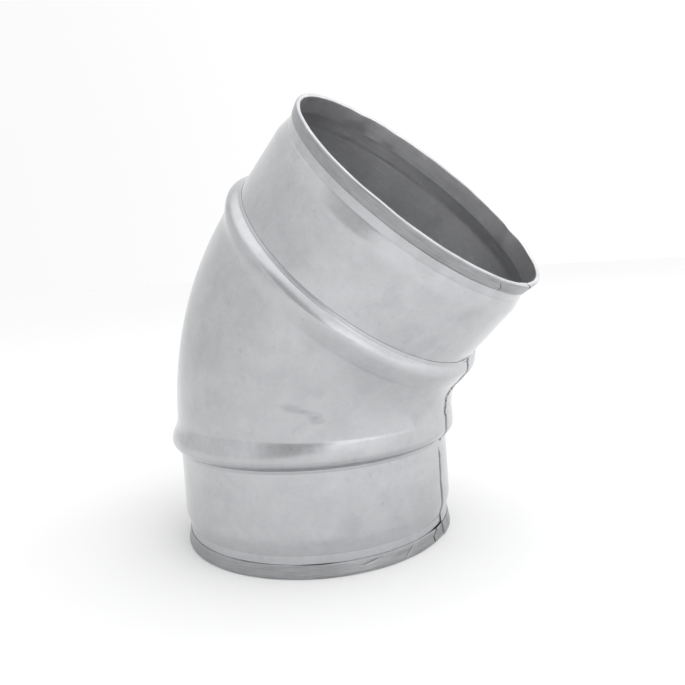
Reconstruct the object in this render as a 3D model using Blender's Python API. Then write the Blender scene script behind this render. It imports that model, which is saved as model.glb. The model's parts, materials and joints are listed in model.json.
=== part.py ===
"""A 45 degree flue elbow in galvanised sheet: two straight collars and a curved middle gore.

Both collars are the same part. Each is one strip of sheet, rolled up and lapped at its seam. Its free
end is necked in and folded back outside into a lip, and its other end flares out and sits in the bead at
the end of the gore. The bead closes round the flare and holds it, but it is round and square to the
collar, so each collar can still be turned in the gore. The upper collar is the lower one end for end.

Units are metres and +Z is up. The elbow stands on the lip of its lower collar, bends towards +X, and has
its origin under the middle of its bounding box.
"""
import math

import bmesh
import bpy
from mathutils import Matrix, Vector

# Driving dimensions of the whole elbow
SHEET = 0.0006                      # thickness of the galvanised sheet
BODY_RADIUS = 0.075                 # outside of a collar
BEND_ANGLE = math.radians(45)
BEND_RADIUS = 0.1045                # of the gore's centre line
COLUMNS = 48                        # vertices round the pipe, apart from the seam's own

# Collar, measured from its lip along its axis
COLLAR_LENGTH = 0.0515              # from the lip to the edge of the gore's skirt
LIP_INSIDE_RADIUS = 0.0725
LIP_THICKNESS = 0.0024              # across the folded edge
LIP_CORNER = 0.0004                 # rounding of the fold, on the middle of the sheet
LIP_HEIGHT = 0.0066                 # from the fold to the sheet's cut edge
LIP_EDGE_GAP = 0.0004               # between the cut edge and the neck
NECK_LENGTH = 0.0110
SHOULDER_LENGTH = 0.0072            # cone from the neck up to the full radius

# Gore, measured from its cut edge along its centre line
TUBE_RADIUS = 0.0757                # outside of the gore between its beads
GORE_STRAIGHT = 0.0140              # straight length at each end
SKIRT_RADIUS = 0.07595              # outside of the short skirt that hugs the collar
SKIRT_LENGTH = 0.0015
BEAD_RADIUS = 0.0795                # outside of the bead's crest
BEAD_CREST = 0.0069
BEAD_END = 0.0178                   # where the bead has run out into the tube
THROAT_RADIUS = 0.0788              # at the middle of the throat, which is fuller than the tube
THROAT_SPREAD = 1.5                 # how quickly that fullness fades round the pipe

# Flared end of a collar, measured from the gore's cut edge into the gore
FLARE_START = 0.0025
FLARE_CREST = 0.0068
FLARE_END = 0.0086
FLARE_RADIUS = 0.0780               # outside of the flare, which the bead's skirt holds in

# Lap seam of each strip, at the throat of the bend
LAP_EDGE = math.radians(5.5)        # cut edge of the outer layer
LAP_END = math.radians(14.7)        # cut edge of the inner layer
LAP_RAMP_END = math.radians(27.0)   # where the outer layer is back on the pipe's radius
CUT_WIDTH = math.radians(0.03)      # angle that a cut edge takes
LAP_FADE_START = 0.0080             # before the gore's edge, a collar's lap is pressed flat
LAP_FADE_END = 0.0010
UPPER_TURN = math.radians(4.5)      # how far the upper collar is turned in the gore

STEEL_COLOUR = (0.60, 0.61, 0.62, 1.0)
STEEL_ROUGHNESS = 0.36


def clear_scene():
    """Remove every object that the file opens with."""
    for obj in list(bpy.data.objects):
        bpy.data.objects.remove(obj, do_unlink=True)


def galvanised_steel(name, shade):
    """Zinc-coated steel; shade darkens or lightens one piece a little."""
    material = bpy.data.materials.new(name)
    material.use_nodes = True
    surface = material.node_tree.nodes["Principled BSDF"]
    colour = [shade * channel for channel in STEEL_COLOUR[:3]] + [1.0]
    surface.inputs["Base Color"].default_value = colour
    surface.inputs["Metallic"].default_value = 1.0
    surface.inputs["Roughness"].default_value = STEEL_ROUGHNESS
    return material


def column_angles():
    """Angles round the pipe from the throat, with a close pair at each cut edge of the lap."""
    evenly = [2 * math.pi * i / COLUMNS for i in range(COLUMNS)]
    cuts = [edge + side * CUT_WIDTH for edge in (LAP_EDGE, LAP_END) for side in (-1, 1)]
    return sorted(evenly + cuts)


def outer_lift(angle):
    """How far the lap raises the outside of the sheet at an angle."""
    if LAP_EDGE < angle <= LAP_END:
        return SHEET
    if LAP_END < angle < LAP_RAMP_END:
        return SHEET * (LAP_RAMP_END - angle) / (LAP_RAMP_END - LAP_END)
    return 0.0


def inner_lift(angle):
    """How far the lap raises the inside: only past the inner layer's cut edge."""
    return outer_lift(angle) if angle > LAP_END else 0.0


def arc(centre, radius, start, end, steps):
    """Points of an arc in the profile plane, from angle start to angle end, in degrees."""
    angles = [math.radians(start + (end - start) * i / steps) for i in range(steps + 1)]
    return [(centre[0] + radius * math.cos(a), centre[1] + radius * math.sin(a)) for a in angles]


def smooth_step(t):
    """An S-shaped ramp from 0 to 1 with level ends."""
    return t * t * (3 - 2 * t)


def offset_path(path, distance):
    """The profile path moved sideways to its left, with mitred corners."""
    moved = []
    for i, point in enumerate(path):
        here = Vector(point)
        before = (here - Vector(path[i - 1])).normalized() if i > 0 else None
        after = (Vector(path[i + 1]) - here).normalized() if i < len(path) - 1 else None
        along_in = before or after
        along_out = after or before
        normal_in = Vector((-along_in.y, along_in.x))
        normal_out = Vector((-along_out.y, along_out.x))
        mitre = normal_in + normal_out
        mitre *= 2 / mitre.length_squared
        moved.append(tuple(here + mitre * distance))
    return moved


def lip_path():
    """Middle of the sheet in the folded lip, from the cut edge round the fold to the neck."""
    neck = LIP_INSIDE_RADIUS + SHEET / 2
    flap = LIP_INSIDE_RADIUS + LIP_THICKNESS - SHEET / 2
    corner_height = SHEET / 2 + LIP_CORNER
    cut_edge = (neck + SHEET + LIP_EDGE_GAP, LIP_HEIGHT)
    outer_corner = arc((flap - LIP_CORNER, corner_height), LIP_CORNER, 0, -90, 2)
    inner_corner = arc((neck + LIP_CORNER, corner_height), LIP_CORNER, -90, -180, 2)
    return [cut_edge] + outer_corner, inner_corner


def collar_tube_path():
    """Middle of the sheet from the neck to the flared end inside the gore."""
    neck = LIP_INSIDE_RADIUS + SHEET / 2
    body = BODY_RADIUS - SHEET / 2
    flare = FLARE_RADIUS - SHEET / 2
    path = [(neck, NECK_LENGTH), (body, NECK_LENGTH + SHOULDER_LENGTH)]
    path += [(body, COLLAR_LENGTH - fade) for fade in (LAP_FADE_START, LAP_FADE_END)]
    for i in range(4):
        t = i / 3
        height = FLARE_START + t * (FLARE_CREST - FLARE_START)
        path.append((body + (flare - body) * smooth_step(t), COLLAR_LENGTH + height))
    path.append((flare, COLLAR_LENGTH + FLARE_END))
    return path


def collar_loop():
    """Closed profile of a collar as (radius, height, outer) points.

    outer is True where the point belongs to the outer layer of the lap, so that the lap raises it.
    """
    flap, inner_corner = lip_path()
    path = flap + inner_corner + collar_tube_path()
    left = offset_path(path, SHEET / 2)
    right = offset_path(path, -SHEET / 2)
    loop = [(r, z, i < len(flap)) for i, (r, z) in enumerate(left)]
    loop += [(r, z, True) for r, z in reversed(right)]
    return loop


def between(start, end, value):
    """How far a value lies from start to end, held between 0 and 1."""
    return min(max((value - start) / (end - start), 0.0), 1.0)


def gore_radius(distance, angle):
    """Outside radius of the gore at a distance from its nearer cut edge and an angle from the throat."""
    if distance <= BEAD_CREST:
        rise = math.sin(between(SKIRT_LENGTH, BEAD_CREST, distance) * math.pi / 2)
        return SKIRT_RADIUS + (BEAD_RADIUS - SKIRT_RADIUS) * rise
    fall = smooth_step(between(BEAD_CREST, BEAD_END, distance))
    tube = BEAD_RADIUS + (TUBE_RADIUS - BEAD_RADIUS) * fall
    throat_fall = smooth_step(between(BEAD_CREST, gore_length() / 2, distance))
    throat = BEAD_RADIUS + (THROAT_RADIUS - BEAD_RADIUS) * throat_fall
    return tube + (throat - tube) * ((1 + math.cos(angle)) / 2) ** THROAT_SPREAD


def gore_length():
    """Length of the gore's centre line between the edges of its two skirts."""
    return 2 * GORE_STRAIGHT + BEND_RADIUS * BEND_ANGLE


def gore_frame(distance):
    """Placement of the pipe's cross-section at a distance along the gore's centre line."""
    bent = min(max((distance - GORE_STRAIGHT) / BEND_RADIUS, 0.0), BEND_ANGLE)
    straight_on = max(distance - GORE_STRAIGHT - BEND_RADIUS * BEND_ANGLE, 0.0)
    straight_in = min(distance, GORE_STRAIGHT)
    around = Matrix.Translation((BEND_RADIUS, 0, straight_in)) @ Matrix.Rotation(bent, 4, "Y")
    return around @ Matrix.Translation((-BEND_RADIUS, 0, straight_on))


def gore_distances():
    """Distances of the gore's rings: close together in the beads, wide apart in the bend."""
    first_half = [0.0, SKIRT_LENGTH]
    first_half += [SKIRT_LENGTH + (BEAD_CREST - SKIRT_LENGTH) * i / 4 for i in (1, 2, 3, 4)]
    first_half += [BEAD_CREST + (BEAD_END - BEAD_CREST) * i / 5 for i in (1, 2, 3, 4, 5)]
    bend = gore_length() - 2 * BEAD_END
    middle = [BEAD_END + bend * i / 8 for i in range(1, 8)]
    return first_half + middle + [gore_length() - d for d in reversed(first_half)]


def skin(name, loops, material):
    """A closed tube-shaped mesh through loops of vertices, the last joined to the first."""
    bm = bmesh.new()
    rings = [[bm.verts.new(point) for point in loop] for loop in loops]
    for i, ring in enumerate(rings):
        previous = rings[i - 1]
        for j in range(len(ring)):
            bm.faces.new((previous[j - 1], previous[j], ring[j], ring[j - 1]))
    bmesh.ops.recalc_face_normals(bm, faces=bm.faces)
    mesh = bpy.data.meshes.new(name)
    bm.to_mesh(mesh)
    bm.free()
    mesh.shade_smooth()
    mesh.set_sharp_from_angle(angle=math.radians(35))
    mesh.materials.append(material)
    return mesh


def collar_mesh():
    """A collar standing on its lip, with its axis on Z."""
    loops = []
    for radius, height, outer in collar_loop():
        lift = outer_lift if outer else inner_lift
        raised = between(COLLAR_LENGTH - LAP_FADE_END, COLLAR_LENGTH - LAP_FADE_START, height)
        columns = [(radius + raised * lift(a), a) for a in column_angles()]
        loops.append([(r * math.cos(a), r * math.sin(a), height) for r, a in columns])
    return skin("collar", loops, galvanised_steel("collar_steel", 1.0))


def gore_mesh():
    """The gore with its lower skirt's edge centred on the origin."""
    outside, inside = [], []
    for distance in gore_distances():
        frame = gore_frame(distance)
        nearer = min(distance, gore_length() - distance)
        for loops, depth, lift in ((outside, 0.0, outer_lift), (inside, SHEET, inner_lift)):
            columns = [(gore_radius(nearer, a) - depth + lift(a), a) for a in column_angles()]
            loops.append([frame @ Vector((r * math.cos(a), r * math.sin(a), 0)) for r, a in columns])
    return skin("gore", outside + inside[::-1], galvanised_steel("gore_steel", 0.97))


def add_empty(name, matrix, parent=None):
    """A small empty that carries a piece on its joint's axis."""
    empty = bpy.data.objects.new(name, None)
    empty.empty_display_size = 0.02
    bpy.context.collection.objects.link(empty)
    empty.parent = parent
    empty.matrix_local = matrix
    return empty


def add_piece(name, mesh, parent, matrix=None):
    """A sub-part placed in its parent's frame."""
    piece = bpy.data.objects.new(name, mesh)
    bpy.context.collection.objects.link(piece)
    piece.parent = parent
    piece.matrix_local = matrix or Matrix.Identity(4)
    return piece


def centre_on_origin(base, pieces):
    """Move the base so that the middle of the whole bounding box lies over the origin."""
    bpy.context.view_layer.update()
    corners = [piece.matrix_world @ vertex.co for piece in pieces for vertex in piece.data.vertices]
    for axis in (0, 1):
        values = [corner[axis] for corner in corners]
        base.location[axis] -= (min(values) + max(values)) / 2


def main():
    clear_scene()
    collar = collar_mesh()
    base = add_empty("elbow_base", Matrix.Identity(4))
    lower_collar = add_piece("lower_collar", collar, base)
    lower_swivel = add_empty("lower_swivel", Matrix.Translation((0, 0, COLLAR_LENGTH)), base)
    middle_gore = add_piece("middle_gore", gore_mesh(), lower_swivel)
    upper_swivel = add_empty("upper_swivel", gore_frame(gore_length()), middle_gore)
    end_for_end = Matrix.Translation((0, 0, COLLAR_LENGTH)) @ Matrix.Rotation(math.pi, 4, "X")
    turned = Matrix.Rotation(UPPER_TURN, 4, "Z") @ end_for_end
    upper_collar = add_piece("upper_collar", collar, upper_swivel, turned)
    centre_on_origin(base, [lower_collar, middle_gore, upper_collar])


main()
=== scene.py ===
import json
import math
import random

import bpy
import numpy as np
from mathutils import Matrix, Vector


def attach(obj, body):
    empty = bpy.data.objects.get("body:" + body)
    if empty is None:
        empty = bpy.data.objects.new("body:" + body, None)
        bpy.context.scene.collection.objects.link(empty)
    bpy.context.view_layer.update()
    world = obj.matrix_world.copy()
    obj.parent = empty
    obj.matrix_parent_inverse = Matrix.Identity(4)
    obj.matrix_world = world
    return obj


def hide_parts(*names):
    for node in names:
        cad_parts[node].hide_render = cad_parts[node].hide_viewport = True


# The visible shells of a 45 degree flue elbow in galvanised sheet: two collars and a curved middle gore

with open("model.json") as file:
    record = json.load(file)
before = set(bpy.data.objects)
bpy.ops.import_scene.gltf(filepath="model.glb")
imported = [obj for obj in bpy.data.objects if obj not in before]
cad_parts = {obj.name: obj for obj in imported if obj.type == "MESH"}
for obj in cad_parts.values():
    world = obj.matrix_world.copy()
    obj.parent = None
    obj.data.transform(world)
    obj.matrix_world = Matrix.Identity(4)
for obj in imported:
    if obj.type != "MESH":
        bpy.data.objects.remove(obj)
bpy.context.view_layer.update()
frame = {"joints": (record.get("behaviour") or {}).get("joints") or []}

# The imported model's joints place everything
JOINTS = {joint["name"]: joint for joint in frame["joints"]}
LOWER_PIVOT = Vector(JOINTS["lower_swivel"]["pos_m"])
UPPER_PIVOT = Vector(JOINTS["upper_swivel"]["pos_m"])
UPPER_AXIS = Vector(JOINTS["upper_swivel"]["axis"])
BEND_ANGLE = math.atan2(UPPER_AXIS.x, UPPER_AXIS.z)
COLLAR_LENGTH = LOWER_PIVOT.z

# Dimensions of the CAD model, in metres
SHEET = 0.0006
BODY_RADIUS = 0.075
BEND_RADIUS = 0.1045
NECK_RADIUS = 0.0725
LIP_THICKNESS = 0.0024
LIP_HEIGHT = 0.0066
LIP_EDGE_GAP = 0.00003
NECK_LENGTH = 0.0110
SHOULDER_LENGTH = 0.0072
TUBE_RADIUS = 0.0757
GORE_STRAIGHT = 0.0140
SKIRT_RADIUS = 0.07595
SKIRT_LENGTH = 0.0015
BEAD_RADIUS = 0.0795
BEAD_CREST = 0.0069
BEAD_END = 0.0178
THROAT_RADIUS = 0.0788
THROAT_SPREAD = 1.5
FLARE_START = 0.0025
FLARE_CREST = 0.0068
FLARE_END = 0.0086
FLARE_RADIUS = 0.0780
LAP_EDGE = 5.5
LAP_END = 14.7
LAP_RAMP_END = 27.0
UPPER_TURN = 4.5
GORE_LENGTH = 2 * GORE_STRAIGHT + BEND_RADIUS * BEND_ANGLE

SKIRT_TUCK = 0.00027       # how much closer the skirt's edge hugs the collar than in the CAD model
EDGE_ROUNDING = 0.00044    # how far the outside falls at the skirt's cut edge
FOLD_RADIUS = 0.00075      # of the lip's fold, on the middle of the sheet
FLAP_RINGS = 22            # along the flap of a lip
COLUMN_STEP = 1.25         # degrees between the columns of a mesh
FINE_STEP = 0.22           # the same near the lap seam and the marks on the lip
ARC_PER_DEGREE = 0.00131   # length of a degree round the pipe
FLAP_WAVE = 0.00003        # how unevenly a flap lies on its neck
# painted light: how much the inside is lightened
INSIDE_PAINTED_LIGHT = 1.45
OUTSIDE_ZINC = (0.479, 0.488, 0.502)
INSIDE_ZINC = (0.484, 0.485, 0.493)


def smooth(t):
    """S-shaped ramp from 0 to 1."""
    t = np.clip(t, 0.0, 1.0)
    return t * t * (3 - 2 * t)


def bump(x, centre, width):
    """A rounded bump of height 1, which is gone at width on both sides of its centre."""
    return 1 - smooth(np.abs(x - centre) / width)


def turned(degrees):
    """An angle in degrees brought between -180 and 180."""
    return (degrees + 180) % 360 - 180


def unevenness(degrees, height, seed, waves):
    """Smooth random unevenness between about 0 and 1; waves are (waves per turn, radians per metre)."""
    rng = random.Random(seed)
    total = 0
    for per_turn, per_metre in waves:
        phase = rng.uniform(0, 2 * math.pi)
        total = total + np.cos(per_turn * np.radians(degrees) + per_metre * height + phase)
    return np.clip(0.5 + 0.6 * total / len(waves), 0, 1)


BODY_WAVES = [(2, 20), (3, -45), (5, 60), (7, -110), (9, 130), (13, 90), (11, -160), (4, 200)]
RIM_WAVES = [(3, 0), (5, 0), (8, 0), (11, 0), (17, 0), (23, 0)]


def columns(fine_ranges):
    """Column angles in degrees from just past the lap's cut edge round to just before it."""
    angles = list(np.arange(-180, 180, COLUMN_STEP))
    for low, high in fine_ranges:
        angles = [a for a in angles if not low < a < high]
        angles += list(np.arange(low, high, FINE_STEP))
    cut = 0.03
    for edge in (LAP_EDGE, LAP_END):
        angles = [a for a in angles if abs(a - edge) > 2 * cut]
        angles += [edge - cut, edge + cut]
    ahead = sorted(a for a in angles if a > LAP_EDGE)
    behind = sorted(a for a in angles if a < LAP_EDGE)
    return np.array(ahead + [a + 360 for a in behind])


def outer_lift(degrees):
    """How far the lap raises the outside of the sheet."""
    a = turned(degrees)
    ramp = SHEET * (LAP_RAMP_END - a) / (LAP_RAMP_END - LAP_END)
    lap = np.where((a > LAP_EDGE) & (a <= LAP_END), SHEET, 0.0)
    return np.where((a > LAP_END) & (a < LAP_RAMP_END), ramp, lap)


def inner_lift(degrees):
    """How far the lap raises the inside: only past the inner layer's cut edge."""
    return np.where(turned(degrees) > LAP_END, outer_lift(degrees), 0.0)


def seam_groove(degrees):
    """Where the groove and its painted shade line lie, at the foot of the outer layer's cut edge."""
    return bump(turned(degrees), LAP_EDGE - 0.18, 0.35) * (turned(degrees) < LAP_EDGE)


def fillet(before, corner, after, radius, steps):
    """Points of an arc that rounds the corner of a path."""
    p0, p1, p2 = (np.array(p, float) for p in (before, corner, after))
    to0 = (p0 - p1) / np.linalg.norm(p0 - p1)
    to2 = (p2 - p1) / np.linalg.norm(p2 - p1)
    half = math.acos(float(np.clip(to0 @ to2, -1, 1))) / 2
    reach = radius / math.tan(half)
    middle = (to0 + to2) / np.linalg.norm(to0 + to2)
    centre = p1 + middle * radius / math.sin(half)
    start = p1 + to0 * reach - centre
    end = p1 + to2 * reach - centre
    sweep = math.atan2(start[0] * end[1] - start[1] * end[0], float(start @ end))
    points = []
    for i in range(steps + 1):
        a = sweep * i / steps
        turn = np.array([[math.cos(a), -math.sin(a)], [math.sin(a), math.cos(a)]])
        points.append(centre + turn @ start)
    return points


def spread(start, end, count):
    """Evenly spaced points between two points, without the two themselves."""
    start, end = np.array(start, float), np.array(end, float)
    return [start + (end - start) * i / (count + 1) for i in range(1, count + 1)]


def collar_path():
    """Middle of a collar's sheet as (radius, height), from the flap's cut edge to the flared end."""
    neck = NECK_RADIUS + SHEET / 2
    flap_edge = (neck + SHEET + LIP_EDGE_GAP, LIP_HEIGHT)
    flap_foot = (NECK_RADIUS + LIP_THICKNESS - SHEET / 2, SHEET / 2)
    neck_foot = (neck, SHEET / 2)
    neck_top = (neck, NECK_LENGTH)
    body_foot = (BODY_RADIUS - SHEET / 2, NECK_LENGTH + SHOULDER_LENGTH)
    body_top = (BODY_RADIUS - SHEET / 2, COLLAR_LENGTH + FLARE_START)
    outer_fold = fillet(flap_edge, flap_foot, neck_foot, FOLD_RADIUS, 7)
    inner_fold = fillet(flap_foot, neck_foot, neck_top, FOLD_RADIUS, 7)
    crease = fillet(neck_foot, neck_top, body_foot, 0.0012, 4)
    shoulder = fillet(neck_top, body_foot, body_top, 0.012, 8)
    path = [np.array(flap_edge)] + spread(flap_edge, outer_fold[0], FLAP_RINGS) + outer_fold + inner_fold
    path += spread(inner_fold[-1], crease[0], 20) + crease
    path += spread(crease[-1], shoulder[0], 8) + shoulder
    path += spread(shoulder[-1], body_top, 20) + [np.array(body_top)]
    flare = FLARE_RADIUS - SHEET / 2
    for i in range(1, 9):
        t = i / 8
        radius = body_top[0] + (flare - body_top[0]) * float(smooth(t))
        path.append(np.array([radius, COLLAR_LENGTH + FLARE_START + t * (FLARE_CREST - FLARE_START)]))
    path.append(np.array([flare, COLLAR_LENGTH + FLARE_END]))
    return np.array(path), 1 + FLAP_RINGS + len(outer_fold)


def path_normals(path):
    """Unit normals to the left of a path."""
    along = np.gradient(path, axis=0)
    along /= np.linalg.norm(along, axis=1)[:, None]
    return np.stack([-along[:, 1], along[:, 0]], axis=1)


def tube_mesh(name, points, u, v, layers):
    """A closed mesh through rings of points, with its sheet position in metres as a UV map.

    points is (rings, columns, 3); u is the position round the pipe, v along it; layers are attributes.
    """
    rings, count = points.shape[:2]
    index = np.arange(rings * count).reshape(rings, count)
    next_ring = np.roll(index, -1, axis=0)
    across = np.roll(index, -1, axis=1)
    across_next = np.roll(next_ring, -1, axis=1)
    quads = np.stack([index, across, across_next, next_ring], axis=-1).reshape(-1, 4)
    mesh = bpy.data.meshes.new(name)
    mesh.from_pydata(points.reshape(-1, 3).tolist(), [], quads.tolist())
    around = 2 * math.pi * BODY_RADIUS
    u_here = np.broadcast_to(u, (rings, count))
    u_after = np.concatenate([u_here[:, 1:], u_here[:, :1] + around], axis=1)
    v_above = np.roll(v, -1, axis=0)
    corner_u = np.stack([u_here, u_after, u_after, u_here], axis=-1)
    corner_v = np.stack([v, np.roll(v, -1, axis=1), np.roll(v_above, -1, axis=1), v_above], axis=-1)
    uv = mesh.uv_layers.new(name="sheet")
    uv.data.foreach_set("uv", np.stack([corner_u, corner_v], axis=-1).astype(np.float32).ravel())
    for layer, values in layers.items():
        attribute = mesh.attributes.new(layer, "FLOAT", "POINT")
        everywhere = np.broadcast_to(values, (rings, count))
        attribute.data.foreach_set("value", everywhere.astype(np.float32).ravel())
    mesh.shade_smooth()
    mesh.set_sharp_from_angle(angle=math.radians(50))
    return mesh


def show(mesh, matrix, material, body):
    """Put a piece in place, let it ride on its body and stand for the CAD node of that name."""
    piece = bpy.data.objects.new(mesh.name, mesh)
    bpy.context.collection.objects.link(piece)
    mesh.transform(matrix)
    if matrix.determinant() < 0:
        mesh.flip_normals()
    mesh.materials.append(material)
    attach(piece, body)
    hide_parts(body)
    return piece


def collar(name, matrix, material, seed, slit, gaps, creases, dents, rim_wave):
    """A collar with its folded lip, in the frame of its lip plane.

    slit is the torn cut across the lip as (height, angle) points; gaps are the places where the flap
    stands off the neck as (angle, width, distance); creases are short folds in the flap as
    ((angle, height), (angle, height)); dents are dents in the rim as (angle, width, depth).
    """
    path, fold_end = collar_path()
    normal = path_normals(path)
    angle = columns([(-26, 40)])
    height = path[:, 1][:, None]
    radius = path[:, 0][:, None]
    last = len(path) - 1
    order = np.arange(len(path))[:, None]
    a = turned(angle)[None, :]

    # Movement of the sheet itself, shared by its two faces, inwards only
    in_flap = smooth((fold_end - order) / 4.0)
    from_edge = np.clip(height / LIP_HEIGHT, 0, 1)
    move_r = -0.00016 * unevenness(a, height, seed, BODY_WAVES) * smooth((height - NECK_LENGTH) / 0.015)
    move_r = move_r * (1 - smooth((height - COLLAR_LENGTH + 0.006) / 0.005))
    rim = rim_wave * unevenness(a, 0, seed + 1, RIM_WAVES)
    move_z = rim * (1 - smooth(height / NECK_LENGTH))
    for centre, width, depth in dents:
        dent = bump(turned(a - centre), 0, width) * (1 - smooth((height - 0.006) / 0.008))
        move_r = move_r - depth * dent
        move_z = move_z + 0.35 * depth * dent * (1 - smooth(height / 0.006))
    stand_off = FLAP_WAVE * unevenness(a, 0, seed + 2, RIM_WAVES)
    for centre, width, distance in gaps:
        stand_off = stand_off + distance * bump(turned(a - centre), 0, width)
    move_r = move_r + in_flap * stand_off * from_edge ** 1.5

    # Marks pressed or torn into the outer face of the flap, cut in and darkened with painted shade
    slit_heights = [h for h, _ in slit]
    slit_angles = [s for _, s in slit]
    slit_at = np.interp(height, slit_heights, slit_angles)
    half_width = 0.42 + 0.30 * (1 - smooth(height / 0.0015))
    torn = smooth((half_width - np.abs(turned(a - slit_at))) / 0.25)
    torn = torn * smooth((LIP_HEIGHT + 0.002 - height) / 0.001)
    pressed = np.zeros_like(torn)
    for (a0, h0), (a1, h1) in creases:
        along = np.array([(a1 - a0) * ARC_PER_DEGREE, h1 - h0])
        length = np.linalg.norm(along)
        dx = turned(a - a0) * ARC_PER_DEGREE
        dz = height - h0
        t = np.clip((dx * along[0] + dz * along[1]) / length ** 2, 0, 1)
        off = np.hypot(dx - t * along[0], dz - t * along[1])
        pressed = np.maximum(pressed, 1 - smooth(off / 0.0005))

    raised = 1 - smooth((height - (COLLAR_LENGTH - 0.008)) / 0.007)
    seam_waver = 1.2 * (height / COLLAR_LENGTH - 0.5)
    seam_waver = seam_waver + 0.25 * np.sin(height * 260) + 0.12 * np.sin(height * 700)
    waver = -seam_waver * bump(a, LAP_EDGE, 9.0)
    rings, v, inner, hem, painted_shade_and_marks = [], [], [], [], []
    for side in (1, -1):
        outer_face = (order < fold_end) if side > 0 else (order >= 0)
        lift = raised * np.where(outer_face, outer_lift(a), inner_lift(a))
        r = radius + side * SHEET / 2 * normal[:, :1] + move_r + lift
        z = height + side * SHEET / 2 * normal[:, 1:] + move_z
        groove = np.zeros_like(r)
        # Painted shade in the torn slit across the fold, on both faces of the sheet
        over_fold = torn * bump(height, 0.0, 0.0016) * (order < fold_end + 8)
        shadow = np.maximum(over_fold, torn * (order < fold_end))
        if side > 0:
            to_cut_edge = smooth((height - LIP_HEIGHT + 0.0006) / 0.0006)
            groove = groove + 0.00034 * to_cut_edge * (order < fold_end)
            mark = in_flap * (order < fold_end)
            groove = groove + 0.00045 * torn * mark + 0.0003 * pressed * mark
            # Painted shade in the torn slit and the pressed creases of the flap
            shadow = shadow + np.maximum(torn, 0.6 * pressed) * mark
            z = z + 0.0004 * over_fold
        else:
            # Painted shade along the neck's crease line and at the foot of the lap seam's cut edge
            fold_line = bump(height, NECK_LENGTH, 0.0006) * (order >= fold_end)
            seam = seam_groove(a) * raised * (order >= fold_end)
            groove = groove + 0.00007 * fold_line + 0.0003 * seam
            shadow = shadow + 0.20 * fold_line + 0.40 * seam
        r = r - np.minimum(groove, 0.85 * SHEET)
        w = np.radians(a + waver)
        points = np.stack([r * np.cos(w), r * np.sin(w), np.broadcast_to(z, r.shape)], axis=-1)
        is_inner = (order >= fold_end) if side > 0 else (order < fold_end)
        is_hem = (order <= fold_end) & (side > 0) | (order < 0)
        rings.append(points if side > 0 else points[::-1])
        position = np.broadcast_to(height, r.shape)
        v.append(position if side > 0 else position[::-1])
        for store, value in ((inner, is_inner), (hem, is_hem), (painted_shade_and_marks, shadow)):
            full = np.broadcast_to(value * 1.0, r.shape)
            store.append(full if side > 0 else full[::-1])
    u = np.radians(angle - LAP_EDGE)[None, :] * BODY_RADIUS
    layers = {"inside": np.concatenate(inner), "hem": np.concatenate(hem), "painted_shade_and_marks": np.concatenate(painted_shade_and_marks)}
    mesh = tube_mesh(name, np.concatenate(rings), u, np.concatenate(v), layers)
    return show(mesh, matrix, material, name.replace("_shell", ""))


def gore_radius(distance, degrees):
    """Outside radius of the gore at a distance from its nearer cut edge."""
    rise = np.sin(np.clip((distance - SKIRT_LENGTH) / (BEAD_CREST - SKIRT_LENGTH), 0, 1) * math.pi / 2)
    edge_radius = SKIRT_RADIUS - SKIRT_TUCK
    skirt = edge_radius + (BEAD_RADIUS - edge_radius) * rise
    fall = smooth((distance - BEAD_CREST) / (BEAD_END - BEAD_CREST))
    tube = BEAD_RADIUS + (TUBE_RADIUS - BEAD_RADIUS) * fall
    throat_fall = smooth((distance - BEAD_CREST) / (GORE_LENGTH / 2 - BEAD_CREST))
    throat = BEAD_RADIUS + (THROAT_RADIUS - BEAD_RADIUS) * throat_fall
    share = ((1 + np.cos(np.radians(degrees))) / 2) ** THROAT_SPREAD
    return np.where(distance <= BEAD_CREST, skirt, tube + (throat - tube) * share)


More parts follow.
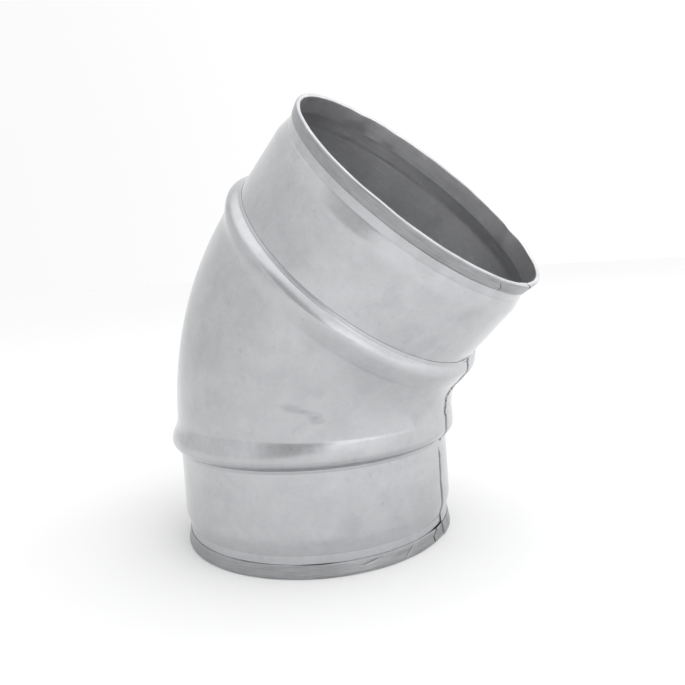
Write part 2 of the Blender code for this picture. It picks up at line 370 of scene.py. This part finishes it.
def gore(name, matrix, material, seed, welds, smudges):
    """The middle gore, with its lower skirt's edge centred on the origin.

    smudges are finger marks as (angle, distance, half width in degrees, half height, darkness).
    """
    half = list(np.linspace(0, SKIRT_LENGTH, 7)) + list(np.linspace(SKIRT_LENGTH, BEAD_CREST, 11))[1:]
    half += list(np.linspace(BEAD_CREST, BEAD_END, 18))[1:]
    middle = list(np.linspace(BEAD_END, GORE_LENGTH - BEAD_END, 36))[1:-1]
    distance = np.array(half + middle + [GORE_LENGTH - d for d in reversed(half)])
    angle = columns([(-2, 20)])
    a = turned(angle)[None, :]
    d = distance[:, None]
    nearer = np.minimum(d, GORE_LENGTH - d)
    uneven = -0.00022 * unevenness(a, d, seed, BODY_WAVES) * smooth((nearer - BEAD_CREST) / 0.012)
    bead_waver = -0.00025 * unevenness(a, np.sign(d - GORE_LENGTH / 2) * 0.01, seed + 3, RIM_WAVES)
    uneven = uneven + bead_waver * bump(nearer, BEAD_CREST, 0.006)
    waver = (0.3 * np.sin(d * 210) + 0.15 * np.sin(d * 610)) * bump(a, LAP_EDGE, 9.0)
    bent = np.clip((d - GORE_STRAIGHT) / BEND_RADIUS, 0, BEND_ANGLE)
    onward = np.maximum(d - GORE_STRAIGHT - BEND_RADIUS * BEND_ANGLE, 0)
    start = np.minimum(d, GORE_STRAIGHT)
    rings, v, inner, painted_shade_and_marks = [], [], [], []
    for side in (1, -1):
        r = gore_radius(nearer, a) + uneven + (outer_lift(a) if side > 0 else inner_lift(a) - SHEET)
        shadow = np.zeros_like(r)
        if side > 0:
            seam = seam_groove(a) + np.zeros_like(d)
            r = r - EDGE_ROUNDING * (1 - smooth(nearer / 0.0012))
            r = r - 0.0003 * seam
            # Painted shade at the foot of the lap seam's cut edge
            shadow = shadow + 0.45 * seam
        for weld_angle, weld_distance in welds:
            off = np.hypot(turned(a - weld_angle) * ARC_PER_DEGREE, d - weld_distance)
            r = r - side * 0.00022 * (1 - smooth(off / 0.0016))
            shadow = shadow + (0.5 * bump(off, 0.0012, 0.0009) if side > 0 else 0)
        if side > 0:
            for mark_angle, mark_distance, half_width, half_height, dark in smudges:
                off = np.hypot(turned(a - mark_angle) / half_width, (d - mark_distance) / half_height)
                shadow = shadow + dark * (1 - smooth((off - 0.7) / 0.6))
        w = np.radians(a + waver)
        x = -BEND_RADIUS + r * np.cos(w)
        y = r * np.sin(w)
        px = BEND_RADIUS + x * np.cos(bent) + onward * np.sin(bent)
        pz = start - x * np.sin(bent) + onward * np.cos(bent)
        points = np.stack([px, y, pz], axis=-1)
        rings.append(points if side > 0 else points[::-1])
        position = np.broadcast_to(d, r.shape)
        v.append(position if side > 0 else position[::-1])
        inner.append(np.full(r.shape, 0.0 if side > 0 else 1.0))
        painted_shade_and_marks.append(shadow if side > 0 else shadow[::-1])
    u = np.radians(angle - LAP_EDGE)[None, :] * BODY_RADIUS
    layers = {"inside": np.concatenate(inner), "hem": np.zeros((1, 1)), "painted_shade_and_marks": np.concatenate(painted_shade_and_marks)}
    mesh = tube_mesh(name, np.concatenate(rings), u, np.concatenate(v), layers)
    return show(mesh, matrix, material, name.replace("_shell", ""))


# Material

class Nodes:
    """Short calls to build a node tree."""

    def __init__(self, tree):
        self.tree = tree

    def add(self, kind, **settings):
        node = self.tree.nodes.new(kind)
        for key, value in settings.items():
            setattr(node, key, value)
        return node

    def put(self, socket, value):
        if isinstance(value, bpy.types.NodeSocket):
            self.tree.links.new(value, socket)
        else:
            socket.default_value = value

    def maths(self, operation, first, second=0.5, clamp=False):
        node = self.add("ShaderNodeMath", operation=operation, use_clamp=clamp)
        self.put(node.inputs[0], first)
        self.put(node.inputs[1], second)
        return node.outputs[0]

    def ramp(self, value, low, high, to_low=0.0, to_high=1.0):
        node = self.add("ShaderNodeMapRange", interpolation_type="SMOOTHSTEP")
        for socket, given in zip(node.inputs, (value, low, high, to_low, to_high)):
            self.put(socket, given)
        return node.outputs[0]

    def mix(self, share, first, second):
        node = self.add("ShaderNodeMix", data_type="FLOAT")
        for socket, value in zip((0, 2, 3), (share, first, second)):
            self.put(node.inputs[socket], value)
        return node.outputs[0]

    def noise(self, vector, scale, detail=2.0, rough=0.5, distortion=0.0):
        node = self.add("ShaderNodeTexNoise")
        self.put(node.inputs["Vector"], vector)
        for socket, value in (("Scale", scale), ("Detail", detail), ("Roughness", rough)):
            node.inputs[socket].default_value = value
        node.inputs["Distortion"].default_value = distortion
        return node.outputs["Fac"]

    def stretched(self, vector, scale, turn=0.0):
        node = self.add("ShaderNodeMapping")
        self.put(node.inputs["Vector"], vector)
        node.inputs["Scale"].default_value = scale
        node.inputs["Rotation"].default_value = (0, 0, turn)
        return node.outputs["Vector"]


def around_one(nodes, value, amount):
    """A texture's 0 to 1 turned into a factor that varies by amount around 1."""
    return nodes.ramp(value, 0.25, 0.75, 1 - amount, 1 + amount)


def galvanised(name, seed, tone=1.0):
    """Zinc-coated sheet: faint spangle, clouds, stains and flecks, a streaky hem with painted shade and a
    painted highlight on its rim edge, a scratched inside lightened by painted light.

    The mesh's attributes say where the inside and the hem are, and where painted shade darkens slits, creases
    and seam lines, along with smudges and weld marks.
    """
    material = bpy.data.materials.new(name)
    material.use_nodes = True
    nodes = Nodes(material.node_tree)
    surface = material.node_tree.nodes["Principled BSDF"]
    place = nodes.add("ShaderNodeTexCoord").outputs["Object"]
    shifted = nodes.add("ShaderNodeVectorMath", operation="ADD")
    nodes.put(shifted.inputs[0], place)
    shifted.inputs[1].default_value = (0.7 * seed, 0.3 * seed, 0.5 * seed)
    place = shifted.outputs[0]
    sheet = nodes.add("ShaderNodeUVMap", uv_map="sheet").outputs[0]
    inside = nodes.add("ShaderNodeAttribute", attribute_name="inside").outputs["Fac"]
    hem = nodes.add("ShaderNodeAttribute", attribute_name="hem").outputs["Fac"]
    painted_shade_and_marks = nodes.add("ShaderNodeAttribute", attribute_name="painted_shade_and_marks").outputs["Fac"]

    clouds = nodes.noise(place, 42.0, 4.0, 0.55, 0.4)
    blotches = nodes.noise(place, 130.0, 3.0, 0.6)
    fine = nodes.noise(place, 620.0, 2.0, 0.6)
    spangle = nodes.add("ShaderNodeTexVoronoi")
    nodes.put(spangle.inputs["Vector"], place)
    spangle.inputs["Scale"].default_value = 260.0
    crystal = nodes.add("ShaderNodeSeparateColor")
    nodes.put(crystal.inputs[0], spangle.outputs["Color"])
    along_rim = nodes.noise(nodes.stretched(sheet, (70.0, 1500.0, 1.0)), 1.0, 3.0, 0.6)
    brushed = nodes.noise(nodes.stretched(sheet, (26.0, 900.0, 1.0), 0.08), 1.0, 3.0, 0.6)

    shade = nodes.maths("MULTIPLY", around_one(nodes, clouds, 0.05), around_one(nodes, blotches, 0.025))
    shade = nodes.maths("MULTIPLY", shade, around_one(nodes, fine, 0.02))
    shade = nodes.maths("MULTIPLY", shade, around_one(nodes, crystal.outputs[0], 0.010))
    stain = nodes.ramp(nodes.noise(place, 60.0, 3.0, 0.5, 0.3), 0.58, 0.72, 1.0, 0.94)
    shade = nodes.maths("MULTIPLY", shade, stain)
    fleck = nodes.ramp(nodes.noise(place, 330.0, 2.0, 0.5, 0.5), 0.66, 0.76, 1.0, 0.90)
    shade = nodes.maths("MULTIPLY", shade, fleck)
    along = nodes.add("ShaderNodeSeparateXYZ")
    nodes.put(along.inputs[0], sheet)
    # Painted highlight along the rim's fold edge, and painted shade over the hem, broken by streaks along it
    edge = nodes.ramp(along.outputs["Y"], 0.0003, 0.0009, 1.9, 1.0)
    hem_painted_shade_and_highlight = nodes.maths("MULTIPLY", shade, nodes.ramp(along_rim, 0.25, 0.75, 0.58, 0.78))
    hem_painted_shade_and_highlight = nodes.maths("MULTIPLY", hem_painted_shade_and_highlight, edge)
    shade = nodes.mix(hem, shade, hem_painted_shade_and_highlight)
    scored = nodes.maths("MULTIPLY", nodes.ramp(brushed, 0.3, 0.75, 0.975, 1.03), shade)
    scratch = nodes.noise(nodes.stretched(sheet, (60.0, 420.0, 1.0), -0.9), 1.0, 2.0, 0.5, 0.6)
    scored = nodes.maths("MULTIPLY", scored, nodes.ramp(scratch, 0.60, 0.72, 1.0, 1.13))
    # Painted light lightens the inside
    scored = nodes.maths("MULTIPLY", scored, INSIDE_PAINTED_LIGHT)
    shade = nodes.mix(inside, shade, scored)
    # Painted shade from the mesh's attribute darkens slits, creases and seam lines; smudges and weld marks
    # darken too
    dark = nodes.ramp(painted_shade_and_marks, 0.0, 1.0, 1.0, 0.05)
    shade = nodes.maths("MULTIPLY", shade, dark)
    scaled = nodes.add("ShaderNodeVectorMath", operation="SCALE")
    tint = nodes.add("ShaderNodeMix", data_type="RGBA")
    nodes.put(tint.inputs[0], inside)
    tint.inputs[6].default_value = [tone * part for part in OUTSIDE_ZINC] + [1]
    tint.inputs[7].default_value = [tone * part for part in INSIDE_ZINC] + [1]
    nodes.put(scaled.inputs[0], tint.outputs[2])
    nodes.put(scaled.inputs["Scale"], shade)
    nodes.put(surface.inputs["Base Color"], scaled.outputs[0])
    surface.inputs["Metallic"].default_value = 1.0

    rough = nodes.ramp(blotches, 0.3, 0.7, 0.14, 0.21)
    rough = nodes.mix(hem, rough, nodes.ramp(along_rim, 0.3, 0.7, 0.28, 0.42))
    rough = nodes.mix(inside, rough, nodes.ramp(brushed, 0.3, 0.7, 0.30, 0.36))
    nodes.put(surface.inputs["Roughness"], rough)

    waves = nodes.add("ShaderNodeBump")
    waves.inputs["Strength"].default_value = 0.3
    waves.inputs["Distance"].default_value = 0.0006
    nodes.put(waves.inputs["Height"], nodes.noise(place, 55.0, 2.0, 0.5))
    grain = nodes.add("ShaderNodeBump")
    grain.inputs["Strength"].default_value = 0.08
    grain.inputs["Distance"].default_value = 0.00006
    nodes.put(grain.inputs["Height"], nodes.mix(inside, nodes.mix(hem, fine, along_rim), brushed))
    nodes.put(grain.inputs["Normal"], waves.outputs[0])
    nodes.put(surface.inputs["Normal"], grain.outputs[0])
    return material


# The three pieces

lower_place = Matrix.Translation((LOWER_PIVOT.x, 0, 0))
gore_place = Matrix.Translation(LOWER_PIVOT)
upper_place = (
    Matrix.Translation(UPPER_PIVOT)
    @ Matrix.Rotation(BEND_ANGLE, 4, "Y")
    @ Matrix.Rotation(math.radians(UPPER_TURN), 4, "Z")
    @ Matrix.Translation((0, 0, COLLAR_LENGTH))
    @ Matrix.Rotation(math.pi, 4, "X")
)

collar(
    "lower_collar_shell", lower_place, galvanised("lower_zinc", 1), 11,
    slit=[(0.0, -3.0), (0.0036, -3.8), (0.0050, -1.6), (0.0066, -0.6)],
    gaps=[(-57, 13, 0.0005), (-82, 16, 0.0002), (1, 9, 0.0005)],
    creases=[
        ((-17.7, 0.0052), (-21.8, 0.0016)), ((-35, 0.0050), (-41, 0.0034)), ((12, 0.0066), (13, 0.0020)),
    ],
    dents=[], rim_wave=0.00025,
)
gore(
    "middle_gore_shell", gore_place, galvanised("gore_zinc", 2, 0.97), 23,
    welds=[(7.5, 0.020), (7.8, 0.036), (8.0, 0.051), (8.0, 0.067), (8.2, 0.084), (7.6, 0.097)],
    smudges=[(-64, 0.0410, 4.5, 0.0030, 0.24), (-57, 0.0395, 4, 0.0030, 0.20), (-55, 0.0345, 3, 0.0030, 0.24)],
)
collar(
    "upper_collar_shell", upper_place, galvanised("upper_zinc", 3), 37,
    slit=[(0.0, 8.8), (0.0006, 7.2), (0.0030, 5.4), (0.0066, 1.6)],
    gaps=[(15, 12, 0.0006), (-20, 8, 0.0003)],
    creases=[((27.4, 0.0022), (25.2, 0.0042)), ((25.2, 0.0042), (25.0, 0.0066))],
    dents=[(-153, 9, 0.0011), (-57, 7, 0.0009), (-133, 5, 0.0005)], rim_wave=0.0005,
)


# Studio: a pale room, a little brighter at the right, and a pale floor under a large soft lamp

def direction(azimuth, elevation):
    """Unit vector at an angle from +X towards +Y, and above the horizon, in degrees."""
    a, e = math.radians(azimuth), math.radians(elevation)
    return Vector((math.cos(a) * math.cos(e), math.sin(a) * math.cos(e), math.sin(e)))


ROOM_LEVEL = 1.12           # brightness of the walls, halfway between the two sides
SIDE_LIGHT = 0.20           # how much brighter the right side is, and darker the left
BRIGHT_SIDE = direction(0, 0)
CEILING_LIGHT = (direction(0, 90), 15, 50, 1.6)     # towards, full within, gone beyond, brightness
KEY_LIGHT = (direction(335, 0), 8, 28, 1.7)         # soft box at the right front
DARK_END = (direction(285, 20), 0, 35, 0.7)         # where the photographer stands
FLOOR_SHADE = 0.75
LAMP_PLACE = (2.0, 0.0, 1.2)
LAMP_SIZE = 3.0
LAMP_POWER = 36.0


def build_room():
    """Pale walls all round, with two soft lights and one dark end."""
    world = bpy.data.worlds.new("room")
    bpy.context.scene.world = world
    world.use_nodes = True
    nodes = Nodes(world.node_tree)
    facing = nodes.add("ShaderNodeTexCoord").outputs["Generated"]

    def towards(vector):
        dot = nodes.add("ShaderNodeVectorMath", operation="DOT_PRODUCT")
        nodes.put(dot.inputs[0], facing)
        dot.inputs[1].default_value = vector
        return dot.outputs["Value"]

    level = nodes.maths("ADD", nodes.maths("MULTIPLY", towards(BRIGHT_SIDE), SIDE_LIGHT), ROOM_LEVEL)
    for centre, full, gone, brightness in (CEILING_LIGHT, KEY_LIGHT, DARK_END):
        share = nodes.ramp(towards(centre), math.cos(math.radians(gone)), math.cos(math.radians(full)))
        level = nodes.mix(share, level, brightness)
    nodes.put(world.node_tree.nodes["Background"].inputs["Color"], level)


def floor():
    """A plain matt floor."""
    mesh = bpy.data.meshes.new("floor")
    size = 6.0
    corners = [(-size, -size, 0), (size, -size, 0), (size, size, 0), (-size, size, 0)]
    mesh.from_pydata(corners, [], [(0, 1, 2, 3)])
    plane = bpy.data.objects.new("floor", mesh)
    plane.location.z = -0.0002
    bpy.context.collection.objects.link(plane)
    material = bpy.data.materials.new("floor_pale")
    material.use_nodes = True
    surface = material.node_tree.nodes["Principled BSDF"]
    surface.inputs["Base Color"].default_value = (FLOOR_SHADE, FLOOR_SHADE, FLOOR_SHADE, 1)
    surface.inputs["Roughness"].default_value = 0.9
    mesh.materials.append(material)


def lamp():
    """A large soft lamp that lights the floor at the right, and is kept out of the metal's reflections."""
    light = bpy.data.lights.new("soft_lamp", "AREA")
    light.shape = "SQUARE"
    light.size = LAMP_SIZE
    light.energy = LAMP_POWER
    hanging = bpy.data.objects.new("soft_lamp", light)
    hanging.location = LAMP_PLACE
    hanging.visible_glossy = False
    bpy.context.collection.objects.link(hanging)


build_room()
floor()
lamp()


# Camera

CAMERA_AZIMUTH = 32.04      # degrees from -Y towards +X
CAMERA_ELEVATION = 4.56
CAMERA_ROLL = 3.77
CAMERA_DISTANCE = 0.37253
LOOK_AT = Vector((LOWER_PIVOT.x + 0.020, 0, 0.120))
LENS = 35.235
SHIFT = (0.00975, -0.0402)


def build_camera():
    """The camera, which is a little turned about its line of sight."""
    a, e = math.radians(CAMERA_AZIMUTH), math.radians(CAMERA_ELEVATION)
    back = Vector((math.sin(a) * math.cos(e), -math.cos(a) * math.cos(e), math.sin(e)))
    right = Vector((0, 0, 1)).cross(back).normalized()
    up = back.cross(right)
    roll = math.radians(CAMERA_ROLL)
    rolled_right = right * math.cos(roll) - up * math.sin(roll)
    rolled_up = right * math.sin(roll) + up * math.cos(roll)
    camera = bpy.data.cameras.new("camera")
    camera.lens = LENS
    camera.sensor_width = 36.0
    camera.shift_x, camera.shift_y = SHIFT
    camera.clip_start = 0.01
    holder = bpy.data.objects.new("camera", camera)
    bpy.context.collection.objects.link(holder)
    turn = Matrix((rolled_right, rolled_up, back)).transposed()
    holder.matrix_world = Matrix.Translation(LOOK_AT + back * CAMERA_DISTANCE) @ turn.to_4x4()
    bpy.context.scene.camera = holder


build_camera()
bpy.context.scene.view_settings.view_transform = "Standard"
